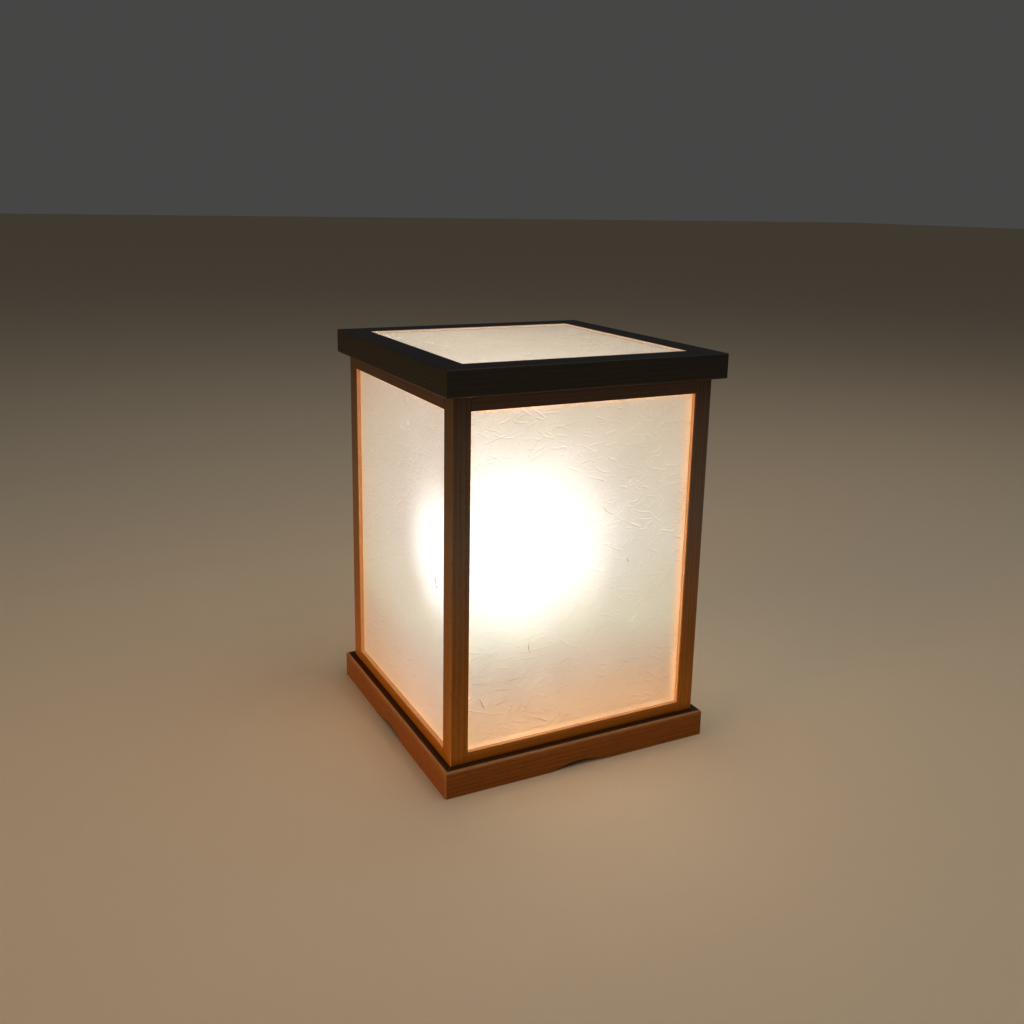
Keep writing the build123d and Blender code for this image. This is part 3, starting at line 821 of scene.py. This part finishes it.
def side_laths():
    """Two long and two short laths that hold a front sheet in its rebate."""
    (_, _, low), (half, y1, high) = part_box("laths_front")
    y0 = paper_high.y
    inner_low, inner_high = low + lath_thickness, high - lath_thickness
    return lath_frame("laths", [
        ((-half, y0, low), (half, y1, inner_low)), ((-half, y0, inner_high), (half, y1, high)),
        ((-half, y0, inner_low), (-opening_half, y1, inner_high)),
        ((opening_half, y0, inner_low), (half, y1, inner_high))])


def top_laths():
    """Four laths that hold the top sheet up against the lid's lip."""
    half, z0, z1 = extent("laths_top")
    boxes = []
    for way in (1, -1):
        start, end = sorted((way * lid_opening, way * half))
        boxes.append(((-half, start, z0), (half, end, z1)))
        boxes.append(((start, -lid_opening, z0), (end, lid_opening, z1)))
    return lath_frame("lath_set_top", boxes)


def cleat():
    """A strip that centres the lantern, eased where the rail slides over it."""
    low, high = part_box("cleat_front")
    strip = start_block("cleat", low, high)
    for axis, ease in ((0, cleat_ease), (1, cleat_end_ease)):
        round_edges(strip, along(axis, z=[high.z]), ease, 2)
    return break_edges(strip)


def glue_blocks():
    """Triangular blocks glued into the four inner corners of the plinth."""
    low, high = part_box("glue_blocks")
    end = low.x + glue_block_leg
    block = start_block("glue_block", low, (end, end, high.z))
    cut(block, (end, low.x, 0), (1, 1, 0), keep="inner")
    break_edges(block)
    copies = [copy_of(block, "glue_block", turns) for turns in (1, 2, 3)]
    return join("glue_block_set", [block] + copies)


for pattern, name, body, node in (
        (plinth_board(), "plinth_board_", "base", "plinth_"),
        (cleat(), "cleat_strip_", "base", "cleat_"),
        (rail(*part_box("bottom_rail_front"), 1), "rail_bottom_", "shade", "bottom_rail_"),
        (rail(*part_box("top_rail_front"), -1), "rail_top_", "shade", "top_rail_"),
        (side_laths(), "lath_set_", "shade", "laths_"),
        (lid_member(), "lid_member_", "lid", "lid_")):
    slot, finish_along = ("plain_wood", plain) if node == "cleat_" else ("stained_wood", stained)
    for turns, side in enumerate(sides):
        dress(copy_of(pattern, name + side, turns), body, slot, node + side,
              finish_along["xy"[turns % 2]])
    bpy.data.objects.remove(pattern)
post = corner_post()
for turns, corner in enumerate(corners):
    dress(copy_of(post, "corner_post_" + corner, turns), "shade", "stained_wood", "post_" + corner)
bpy.data.objects.remove(post)
dress(top_laths(), "lid", "stained_wood", "laths_top", stained["x"])
dress(glue_blocks(), "base", "plain_wood", "glue_blocks")


# ---- paper sheets ----
def paper_wave(width, height, cut_from):
    """How far a stretched sheet stands off its plane: nothing at its borders."""
    def wave(u, v):
        edge = min(u, width - u, v, height - v) - paper_margin
        hold = min(1, max(0, edge / wave_border))
        across, up = u / wave_length, v / wave_length
        broad = noise.noise(Vector((across, up, 3.7 * cut_from)))
        small = noise.noise(Vector((across * 4.1, up * 3.3, 9.1 * cut_from)))
        return wave_height * hold * hold * (3 - 2 * hold) * (broad + 0.22 * small)
    return wave


def scattered_fibres(width, height, cut_from):
    """Places, turns, lengths and bows of the long fibres that lie on a sheet."""
    chance = random.Random(40 + cut_from)
    border, uniform = fibre_border, chance.uniform
    return [(uniform(border, width - border), uniform(border, height - border),
             chance.gauss(0.25, 0.75), uniform(0.006, 0.015), uniform(-0.35, 0.35))
            for _ in range(fibres_each)]


def raised_fibres(lines, wave, finish, radius):
    """Thin bowed threads that follow the sheet's wave, as one mesh."""
    curve = bpy.data.curves.new("raised_fibres", "CURVE")
    give(curve, dimensions="3D", bevel_depth=radius, bevel_resolution=1, use_fill_caps=True)
    for u, v, turn, length, bow in lines:
        spline = curve.splines.new("POLY")
        spline.points.add(6)
        for i, point in enumerate(spline.points):
            t = i / 3 - 1
            x = t * length / 2
            y = bow * length * (t * t - 0.4) + 0.0004 * math.sin(5 * t + turn)
            pu = u + x * math.cos(turn) - y * math.sin(turn)
            pv = v + x * math.sin(turn) + y * math.cos(turn)
            point.co = (pu, pv, wave(pu, pv), 1)
            point.radius = 1 - 0.75 * t * t
    only(add_object("raised_fibres", curve))
    bpy.ops.object.convert(target="MESH")
    fibres = bpy.context.object
    turn_out(fibres)
    fibres.data.materials.clear()
    fibres.data.materials.append(finish)
    return fibres


def paper_sheet(name, width, height, thickness, cut_from, outside, strays, place):
    """A stretched sheet with raised fibres, made flat with its outer face up, then placed."""
    columns, rows = round(width / paper_cell), round(height / paper_cell)
    bpy.ops.mesh.primitive_grid_add(
        x_subdivisions=columns, y_subdivisions=rows, size=1, location=(width / 2, height / 2, 0))
    bpy.context.object.scale = (width, height, 1)
    sheet = settle(name)
    wave = paper_wave(width, height, cut_from)
    for vertex in sheet.data.vertices:
        vertex.co.z = wave(*vertex.co.xy)
    for finish in (outside, inside_washi):
        sheet.data.materials.append(finish)
    shape_by(sheet, "SOLIDIFY", thickness=thickness, offset=-1, material_offset=1)
    pale = scattered_fibres(width, height, cut_from)
    parts = [sheet, raised_fibres(pale, wave, outside, fibre_radius)]
    if strays:
        parts.append(raised_fibres(strays, wave, bark_fibre, bark_radius))
    sheet = join(name, parts)
    layer = sheet.data.uv_layers[0]
    layer.name = "sheet"
    for loop in sheet.data.loops:
        spot = sheet.data.vertices[loop.vertex_index].co
        layer.data[loop.index].uv = (spot.x + cut_from * roll_step, spot.y)
    soften(sheet, 60)
    sheet.matrix_world = place
    return settle(name)


# Darker threads of bark: place in the sheet, turn, length and bow.
stray_fibres = {
    "front": [(0.0745, 0.103, -1.25, 0.015, 0.1), (0.021, 0.051, -1.2, 0.016, -0.06),
              (0.165, 0.24, -0.62, 0.021, 0.12), (0.192, 0.183, -1.00, 0.007, 0.3)],
    "left": [(0.2323, 0.1726, -1.3, 0.012, 0.15), (0.229, 0.178, -1.05, 0.01, -0.2),
             (0.235, 0.17, 1.1, 0.008, 0.1)],
    "right": [(0.06, 0.09, 0.4, 0.014, 0.2), (0.201, 0.253, -0.8, 0.017, -0.12)],
    "back": [(0.11, 0.225, 1.05, 0.013, 0.18), (0.184, 0.064, -0.3, 0.019, 0.1)],
}
upright = Matrix.Translation(paper_low) @ Matrix.Rotation(quarter, 4, "X")
for turns, side in enumerate(sides):
    paper = paper_sheet(
        "paper_" + side, side_width, side_height, paper_high.y - paper_low.y, turns,
        side_washi[side], stray_fibres[side], Matrix.Rotation(turns * quarter, 4, "Z") @ upright)
    dress(paper, "shade", "washi", "washi_" + side)
top_paper = paper_sheet("paper_top", top_width, top_width, top_paper_high.z - top_paper_low.z, 5,
                        top_washi, [], Matrix.Translation((*top_paper_low.xy, top_paper_high.z)))
dress(top_paper, "lid", "washi", "washi_top")


# ---- screws ----
def cross_recess(screw, top, depth):
    """A cross-shaped driver recess, narrower at its bottom."""
    length, width = 0.55 * screw_head_radius, 0.15 * screw_head_radius
    for x, y in ((length, width), (width, length)):
        slot = start_block("slot", (-x, -y, top - depth), (x, y, top + 0.001))
        edit(slot, bpy.ops.transform.resize, test=lambda p: p.co.z < top, value=(0.45, 0.45, 1),
             center_override=(0, 0, 0))
        shape_with(screw, slot)


def countersunk_screw():
    """A wood screw with a countersunk head, on the lamp's axis."""
    _, bottom, top = extent("board_screws")
    head, shank = screw_head_radius, screw_shank
    screw = turned_piece("countersunk_screw", [
        (0, top), (head - 0.0002, top), (head, top - 0.0002), (shank, top - screw_cone),
        (shank, bottom + 0.004), (screw_tip, bottom), (0, bottom)], 32)
    cross_recess(screw, top, 0.0016)
    return soften(screw, 35)


def pan_screw():
    """A pan-head screw for the flange, on the lamp's axis."""
    _, bottom, top = extent("flange_screws")
    head, shank, under, bend = screw_head_radius, screw_shank, flange_top, 0.0009
    screw = turned_piece("pan_screw", [
        (0, top), *arc(head - bend, top - bend, bend, 90, 0), (head, under), (shank, under),
        (shank, bottom + 0.003), (screw_tip, bottom), (0, bottom)], 32)
    cross_recess(screw, top, 0.0012)
    return soften(screw, 35)


screw_line = plinth_half - screw_inset
board_places = [(a, b) for a in (-screw_spread, screw_spread) for b in (-screw_line, screw_line)]
board_places += [(b, a) for a, b in board_places]
flange_places = arc(0, 0, flange_screw_circle, 0, 240, 2)
for name, node, pattern, places in (
        ("board_screw_set", "board_screws", countersunk_screw(), board_places),
        ("flange_screw_set", "flange_screws", pan_screw(), flange_places)):
    screws = [copy_of(pattern, name, 0, (x, y, 0)) for x, y in places]
    bpy.data.objects.remove(pattern)
    dress(join(name, screws), "base", "steel", node)


# ---- lamp holder ----
def nut_set():
    """Two hexagon nuts, their corners turned off at both faces."""
    _, low, _ = extent("stem_nuts")
    high = low + nut_height
    corner = nut_flats / math.sqrt(3)
    nut = start_rod("stem_nut", corner, low - 0.001, high + 0.001, steps=6)
    nut.rotation_euler.z = quarter
    settle("stem_nut")
    inner, outer = corner - 0.001, corner + 0.0002
    lens = turned_piece("lens", [(0, low), (inner, low), (outer, low + nut_ease),
                                 (outer, high - nut_ease), (inner, high), (0, high)])
    shape_with(nut, lens, "INTERSECT")
    shape_with(nut, start_rod("bore", stem_radius, low - 0.001, high + 0.001))
    soften(nut, 30)
    return join("nut_set", [copy_of(nut, "nut_set", 0, (0, 0, flange_top - low)), nut])


def flange_plate(edge, low, high):
    """A turned disc with a rounded rim and a shallow groove round its top."""
    bore = stem_radius + stem_gap
    return turned_piece("flange_plate", [
        (bore, low), (edge - 0.0003, low), (edge, low + 0.0003),
        *arc(edge - 0.0008, high - 0.0008, 0.0008, 0, 90), (edge - 0.003, high),
        (edge - 0.0034, high - 0.0003), (edge - 0.0042, high - 0.0003), (edge - 0.0046, high),
        (0.0095, high), (bore, high)])


def threaded_stem(edge, low, high):
    """A lamp tube with a fine thread from end to end."""
    stem = turned_piece("threaded_stem", [
        (stem_bore, low), (stem_radius - 0.0005, low),
        *rings(stem_radius, low + 0.0005, high - 0.0005, stem_pitch, 6),
        (stem_radius - 0.0005, high), (stem_bore, high)], 24)
    roll_thread(stem, stem_radius, 0.0004, stem_pitch, low, high)
    return stem


def holder_base(edge, low, high):
    """Closed end of the socket."""
    bore = stem_radius + stem_gap
    return turned_piece("holder_base", [
        (bore, low), *arc(edge - 0.002, low + 0.002, 0.002, -90, 0, 6), (edge, high - 0.0016),
        (edge - 0.0004, high - 0.0012), (edge - 0.0004, high), (holder_cavity, high),
        (holder_cavity, holder_floor), (bore, holder_floor)])


def holder_body(edge, low, high):
    """Ring of the socket, with a milled band and a rounded rim."""
    inside = holder_bore
    band_low, band_high = low + 0.006, low + 0.024
    ring = turned_piece("holder_body", [
        (inside, low), (edge - 0.0004, low), (edge - 0.0004, low + 0.0008), (edge, low + 0.0012),
        (edge, band_low), (edge, band_high), *arc(edge - 0.002, high - 0.002, 0.002, 0, 90, 6),
        (inside + 0.0005, high), (inside, high - 0.0005)], flutes)

    def every_third_strip(face):
        middle = face.calc_center_median()
        strip = round((math.atan2(middle.y, middle.x) / (2 * math.pi) - 0.5 / flutes) * flutes)
        outside = middle.xy.length > edge - 0.001
        return outside and strip % 3 == 0 and band_low < middle.z < band_high

    edit(ring, bpy.ops.mesh.inset, "FACE", every_third_strip, thickness=0.00015, depth=-0.0005,
         use_individual=True)
    return ring


def ceramic_insert(edge, low, high):
    """Glazed disc that carries the contacts."""
    puck = turned_piece("ceramic_insert", [
        (0, low), (edge - 0.0004, low), (edge, low + 0.0004),
        *arc(edge - 0.001, high - 0.001, 0.001, 0, 90), (0, high)], 64)
    for x in (-0.0075, 0.0075):
        shape_with(puck, start_rod("hole", 0.0021, low - 0.001, low + 0.0045, (x, 0), 32))
    return puck


def screw_shell(edge, low, high):
    """Brass sleeve rolled into the thread that the bulb turns into."""
    inner, start, end = edge - 0.0006, low + 0.0012, high - 0.0012
    shell = turned_piece("screw_shell", [
        (inner, low), (edge, low), *rings(edge, start, end, socket_pitch), (edge, high),
        (inner, high), *rings(inner, start, end, socket_pitch)[::-1]], 64)
    roll_thread(shell, edge, 0.00035, socket_pitch, start, end)
    return shell


# ---- bulb ----
def bulb_globe(edge, low, high):
    """Opal dome with a real wall, open towards its housing."""
    centre, inner = high - edge, edge - bulb_wall
    start, inner_start = [-math.degrees(math.asin((centre - low) / r)) for r in (edge, inner)]
    return turned_piece("bulb_globe", arc(0, centre, edge, start, 90, 28)
                        + arc(0, centre, inner, 90, inner_start, 28))


def bezier(points, steps):
    """Points of a cubic curve in the outline's plane."""
    line = []
    for t in [i / steps for i in range(steps + 1)]:
        weights = ((1 - t) ** 3, 3 * t * (1 - t) ** 2, 3 * t * t * (1 - t), t ** 3)
        line.append(tuple(sum(w * p[k] for w, p in zip(weights, points)) for k in (0, 1)))
    return line


def bulb_neck(edge, low, high):
    """Flared housing between cap and dome."""
    neck, wall, rim = 0.0134, 0.0018, 0.0048
    flare = edge - neck
    return turned_piece("bulb_neck", bezier(
        [(neck, low), (neck, low + flare), (edge, high - flare), (edge, high)], 24) + bezier(
        [(edge - rim, high), (edge - rim, high - flare), (neck - wall, low + flare),
         (neck - wall, low)], 16))


def bulb_screw_cap(edge, low, high):
    """Thin nickel cap with a rolled thread and a plain band on top."""
    depth, wall = 0.0008, 0.0006
    root = edge - depth
    band = high - 0.002
    cap = turned_piece("bulb_screw_cap", [
        (root - wall, low), (root, low), *rings(edge, low + 0.0006, band, socket_pitch),
        (root, band + 0.0004), (root, high), (root - wall, high)], 64)
    for place in [vertex.co for vertex in cap.data.vertices]:
        if near(place.xy.length, edge):
            ends = min(1, (place.z - low) / 0.003, (band - place.z) / 0.002)
            crest = 1 - groove_at(place, place.z - low, socket_pitch)
            place.xy = place.xy.normalized() * (root + depth * crest * max(0, ends))
    return cap


def bulb_insulator_cone(edge, low, high):
    """Black glass between the cap and its centre contact."""
    narrow, _, _ = extent("bulb_contact")
    return turned_piece("bulb_insulator_cone", [
        (0, high), (edge, high), (edge, high - 0.0004),
        ((narrow + edge) / 2 + 0.0004, (low + high) / 2 - 0.0004), (narrow, low), (0, low)], 64)


def bulb_end_contact(edge, low, high):
    """Soldered centre contact, slightly domed."""
    return turned_piece("bulb_end_contact", [
        (0, low), (edge * 0.45, low + 0.0001), (edge * 0.8, low + 0.0005), (edge, low + 0.0011),
        (edge, high), (0, high)], 48)


dress(nut_set(), "base", "steel", "stem_nuts")
for make, node, body, slot, angle in (
        (flange_plate, "stem_flange", "base", "steel", 40),
        (threaded_stem, "lamp_stem", "base", "steel", 50),
        (holder_base, "socket_base", "base", "black_plastic", 40),
        (holder_body, "socket_body", "base", "black_plastic", 40),
        (ceramic_insert, "socket_insert", "base", "porcelain", 40),
        (screw_shell, "socket_shell", "base", "brass", 50),
        (bulb_globe, "bulb_diffuser", "bulb", "opal_diffuser", 50),
        (bulb_neck, "bulb_housing", "bulb", "white_plastic", 50),
        (bulb_screw_cap, "bulb_cap", "bulb", "nickel", 50),
        (bulb_insulator_cone, "bulb_insulator", "bulb", "black_plastic", 40),
        (bulb_end_contact, "bulb_contact", "bulb", "nickel", 40)):
    dress(soften(make(*extent(node)), angle), body, slot, node)

# ---- what keeps its own solid gets its finish ----
for part in frame["record"]["subparts"]:
    for holder in frame["nodes"][part["node"]].material_slots:
        holder.material = finishes[part["material_slot"]]


# ---- studio ----
def soft_light(name, place, size, power, target=(0, 0, 0.2), colour=(1, 1, 1), height=None):
    """A soft box aimed at a place; with a height, a strip with a narrow beam."""
    data = bpy.data.lights.new(name, "AREA")
    give(data, size=size, energy=power, color=colour)
    if height:
        give(data, shape="RECTANGLE", size_y=height, spread=math.radians(40))
    way = Vector(target) - Vector(place)
    give(add_object(name, data), location=place,
         rotation_euler=way.to_track_quat("-Z", "Y").to_euler())


def camera():
    """Looks from the front-left and a little above, a shade over a metre away."""
    azimuth, elevation, roll = [math.radians(angle) for angle in (-27.194, 13.561, 1.121)]
    sideways, upwards, distance = -0.00843, 0.13041, 1.2138
    turn = Matrix.Rotation(azimuth, 3, "Z") @ Matrix.Rotation(quarter - elevation, 3, "X")
    data = bpy.data.cameras.new("camera")
    give(data, sensor_width=36, lens=36.397, shift_y=-0.0605)
    eye = add_object("camera", data)
    eye.matrix_world = (turn @ Matrix.Rotation(roll, 3, "Z")).to_4x4()
    eye.location = Vector((0, 0, 0.18)) + turn @ Vector((sideways, upwards, distance))
    bpy.context.scene.camera = eye


bpy.ops.mesh.primitive_plane_add(size=60)
floor = settle("floor")
ground = Finish("floor", Roughness=0.7, Specular_IOR_Level=0.3)
cloud = ground.object.noise(3.0, 3.0)
ground.wire(Base_Color=cloud.blend((0.79, 0.63, 0.44), (0.81, 0.65, 0.45)))
floor.data.materials.append(ground.material)

world = bpy.data.worlds.new("studio")
world.use_nodes = True
world.node_tree.nodes["Background"].inputs["Color"].default_value = (0.062, 0.061, 0.06, 1)
bpy.context.scene.world = world
soft_light("overhead", (0.3, -0.4, 2.6), 2.5, 21)
soft_light("low_left", (-3.00, -0.57, 0.42), 1.2, 2.2, (0, 0, 0.08), (1.0, 0.5, 0.06), 0.3)
soft_light("low_front", (0.95, -3.05, 0.42), 1.2, 0.22, (0, 0, 0.08), (1.0, 0.56, 0.18), 0.3)
camera()
bpy.context.scene.view_settings.view_transform = "Standard"
